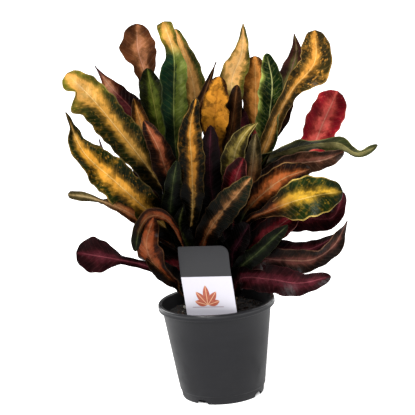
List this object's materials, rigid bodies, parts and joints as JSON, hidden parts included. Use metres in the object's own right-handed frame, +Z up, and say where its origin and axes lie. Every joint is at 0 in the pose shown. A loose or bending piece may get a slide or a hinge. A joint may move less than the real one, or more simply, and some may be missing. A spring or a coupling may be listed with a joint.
{
  "type": "potted croton",
  "caption": "Potted croton with long twisted variegated leaves on rooted stems, in a soil-filled round nursery pot with a stick-in plant label; a free-standing houseplant.",
  "frame": {"origin": "middle of the pot's base, on the surface it stands on (the flat face of the stud in the middle of the floor)", "axes": "+Z up along the pot's axis, the plant label and the best side of the plant towards -Y"},
  "size_m": [0.3333, 0.2476, 0.4236],
  "materials": {
    "pot_plastic": "dark grey thermoformed polypropylene, half gloss",
    "soil": "loose peat potting mix",
    "label_card": "printed plastic card",
    "foliage": "glossy leaves, variegated in gold, green, orange, red and maroon"
  },
  "bodies": {
    "root": {"pot": "pot_plastic", "potting_soil": "soil", "plant_label": "label_card", "croton_stem_front_left": "foliage", "croton_stem_front_right": "foliage", "croton_stem_back_left": "foliage", "croton_stem_back_right": "foliage"}
  },
  "joints": []
}
